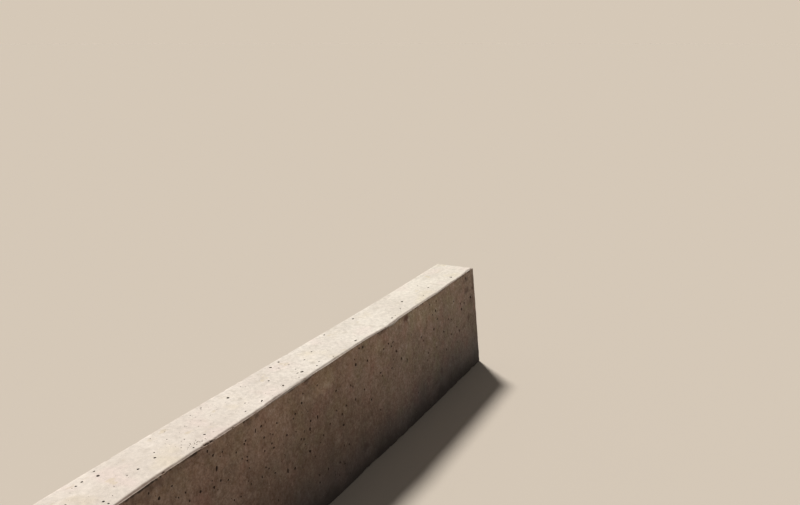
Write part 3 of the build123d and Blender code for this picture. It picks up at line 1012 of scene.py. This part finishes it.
top = mix(times(smudge, 0.55), top, (0.500, 0.430, 0.320))
top = mix(1.0, top, stops(along, [(-1.2, (0.970, 0.970, 0.980)), (-0.6, (0.975, 0.980, 0.995)),
                                  (0.2, (0.99, 1.015, 1.030)), (1.2, (1.005, 1.035, 1.030))]), "MULTIPLY")
top_grit = noise(stretched(move=(3.0, 3.0, 3.0)), 60.0, 4.0, 0.65)
top = scaled(top, math_node("ADD", 1.0, times(ramp(top_grit, 0.30, 0.70, -0.08, 0.078), livelier)))
# painted shade on the slope of the arris behind the fin, where it turns away from the light
band_noise = noise(stretched(move=(3.0, 3.0, 3.0)), 45.0, 3.0, 0.6)
top = mix(times(arris_slope_shade, ramp(band_noise, 0.30, 0.65, 0.80, 0.96)), top, (0.146, 0.105, 0.084))

# the edges of the joint faces are darker: painted shade of the gap between units, with some wear
joint = ramp(math_node("ABSOLUTE", along), 1.4870, 1.4975)
formed = mix(times(joint, 0.45), formed, (0.085, 0.062, 0.048))

body = mix(trowelled, formed, top)
# painted shadow line under the fin of the back arris, with some dirt
body = mix(times(underfin_shadow, 0.95), body, (0.032, 0.022, 0.016))
# broken places painted dark: painted shade inside the chips
body = mix(times(chip_shade_and_rough, 0.90), body, (0.170, 0.118, 0.088))

# sand grains, dark and pale specks
grain = noise(plain, 420.0, 2.0, 0.7)
grain_m = noise(stretched(move=(1.0, 4.0, 2.0)), 95.0, 3.0, 0.65)
body = scaled(body, ramp(grain, 0.25, 0.75, 0.92, 1.08))
body = scaled(body, math_node("ADD", 1.0, times(math_node("SUBTRACT", grain_m, 0.5),
                                                ramp(trowelled, 0.0, 1.0, 0.75, 0.16, "LINEAR"))))
speck = times(ramp(cells_of(plain, 95.0), 0.20, 0.09), ramp(noise(plain, 14.0, 2.0, 0.5), 0.48, 0.62))
body = mix(times(speck, ramp(trowelled, 0.0, 1.0, 0.60, 0.30, "LINEAR")), body, (0.125, 0.100, 0.084))
pale = times(ramp(cells_of(stretched(move=(5.0, 2.0, 3.0)), 70.0), 0.15, 0.07),
             ramp(noise(stretched(move=(2.0, 2.0, 9.0)), 11.0, 2.0, 0.5), 0.52, 0.64))
body = mix(times(pale, 0.30), body, (0.62, 0.56, 0.49))
# holes hold dust and shade, crumbs are greyer
body = mix(times(pit, 0.90), body, (0.040, 0.028, 0.022))
body = mix(times(crumb, 0.60), body, (0.215, 0.180, 0.155))

bsdf = node("ShaderNodeBsdfPrincipled")
link(body, bsdf.inputs["Base Color"])
rough_n = noise(stretched(move=(7.0, 7.0, 7.0)), 38.0, 3.0, 0.6)
rough = math_node("SUBTRACT", ramp(rough_n, 0.3, 0.7, 0.82, 0.96, "LINEAR"), times(trowelled, 0.10))
link(rough, bsdf.inputs["Roughness"])
bsdf.inputs["Specular IOR Level"].default_value = 0.35

# fine relief: sand texture, pin pores, trowel drag along the top
pores = ramp(cells_of(stretched(move=(8.0, 4.0, 6.0)), 230.0), 0.26, 0.10)
pore_where = ramp(noise(stretched(move=(0.0, 7.0, 4.0)), 17.0, 2.0, 0.5), 0.44, 0.62)
sand = noise(plain, 620.0, 3.0, 0.7)
lumps = noise(plain, 130.0, 3.0, 0.6)
drag = noise(stretched((8, 85, 85)), 1.0, 4.0, 0.65)
rough_face = times(noise(stretched(move=(2.0, 6.0, 8.0)), 260.0, 4.0, 0.7), ramp(chip_shade_and_rough, 0.0, 1.0, 0.25, 2.2, "LINEAR"))
high = math_node("ADD", times(sand, 0.32), times(lumps, 0.38))
high = math_node("ADD", high, rough_face)
high = math_node("SUBTRACT", high, times(pores, pore_where, 0.45))
high = math_node("ADD", high, times(drag, trowelled, 0.55))
bump = node("ShaderNodeBump")
bump.inputs["Strength"].default_value = 0.6
bump.inputs["Distance"].default_value = 0.0009
link(high, bump.inputs["Height"])
link(bump.outputs["Normal"], bsdf.inputs["Normal"])
out = node("ShaderNodeOutputMaterial")
link(bsdf.outputs["BSDF"], out.inputs["Surface"])
kerb.data.materials.append(mat)

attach(kerb, "root")
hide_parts("kerb_stone")

# ------------------------------------------------------------------ studio
floor_mesh = bpy.data.meshes.new("studio_floor")
fv, ff, seg = [(0.0, 0.0, 0.0)], [], 96
radii = (4, 10, 25, 60, 150, 400)
for rr in radii:
    for k in range(seg):
        a = 2 * math.pi * k / seg
        fv.append((rr * math.cos(a), rr * math.sin(a), 0.0))
for k in range(seg):
    ff.append((0, 1 + k, 1 + (k + 1) % seg))
for j in range(len(radii) - 1):
    a0, b0 = 1 + j * seg, 1 + (j + 1) * seg
    for k in range(seg):
        ff.append((a0 + k, b0 + k, b0 + (k + 1) % seg, a0 + (k + 1) % seg))
floor_mesh.from_pydata(fv, [], ff)
floor = bpy.data.objects.new("studio_floor", floor_mesh)
scene.collection.objects.link(floor)
fmat = bpy.data.materials.new("studio_floor")
fmat.use_nodes = True
fb = fmat.node_tree.nodes["Principled BSDF"]
fb.inputs["Base Color"].default_value = (0.475, 0.437, 0.392, 1)
fb.inputs["Roughness"].default_value = 0.95
fb.inputs["Specular IOR Level"].default_value = 0.0
floor_mesh.materials.append(fmat)

# pale all round the horizon, dimmer overhead
world = bpy.data.worlds.new("studio")
scene.world = world
world.use_nodes = True
wt = world.node_tree
bg = wt.nodes["Background"]
wc = wt.nodes.new("ShaderNodeTexCoord")
ws = wt.nodes.new("ShaderNodeSeparateXYZ")
wr = wt.nodes.new("ShaderNodeMapRange")
wr.interpolation_type = "SMOOTHSTEP"
wr.inputs["From Min"].default_value = 0.05
wr.inputs["From Max"].default_value = 0.16
wm = wt.nodes.new("ShaderNodeMix")
wm.data_type = "RGBA"
wm.inputs[6].default_value = (0.666, 0.5773, 0.4748, 1)
wm.inputs[7].default_value = (0.165, 0.153, 0.140, 1)
wt.links.new(wc.outputs["Generated"], ws.inputs[0])
wt.links.new(ws.outputs["Z"], wr.inputs["Value"])
wt.links.new(wr.outputs["Result"], wm.inputs[0])
wt.links.new(wm.outputs[2], bg.inputs["Color"])
bg.inputs["Strength"].default_value = 1.0

# one broad soft key from the front side, high and ahead of the camera
key_data = bpy.data.lights.new("key", "SUN")
key_data.energy = 4.9
key_data.angle = math.radians(9)
key_data.color = (1.0, 0.945, 0.87)
key = bpy.data.objects.new("key", key_data)
scene.collection.objects.link(key)
key.location = (2.0, 3.0, 5.0)
key.rotation_euler = Vector((-0.40, -0.47, -0.79)).to_track_quat("-Z", "Y").to_euler()

# ------------------------------------------------------------------ camera
# 850 px focal length in an 800 px wide frame, 1.636 m above the kerb's base, no roll.
cam_data = bpy.data.cameras.new("camera")
cam_data.sensor_fit = "HORIZONTAL"
cam_data.sensor_width = 36.0
cam_data.lens = 850.0 / 800.0 * 36.0
cam_data.clip_start = 0.05
cam_data.clip_end = 1000.0
cam = bpy.data.objects.new("camera", cam_data)
scene.collection.objects.link(cam)
heading, pitch = math.radians(25.18), math.radians(14.04)
cam.location = (-2.475, -1.5575, 1.636)
look = Vector((math.cos(heading) * math.cos(pitch), math.sin(heading) * math.cos(pitch), -math.sin(pitch)))
cam.rotation_euler = look.to_track_quat("-Z", "Y").to_euler()
scene.camera = cam

scene.view_settings.view_transform = "Standard"
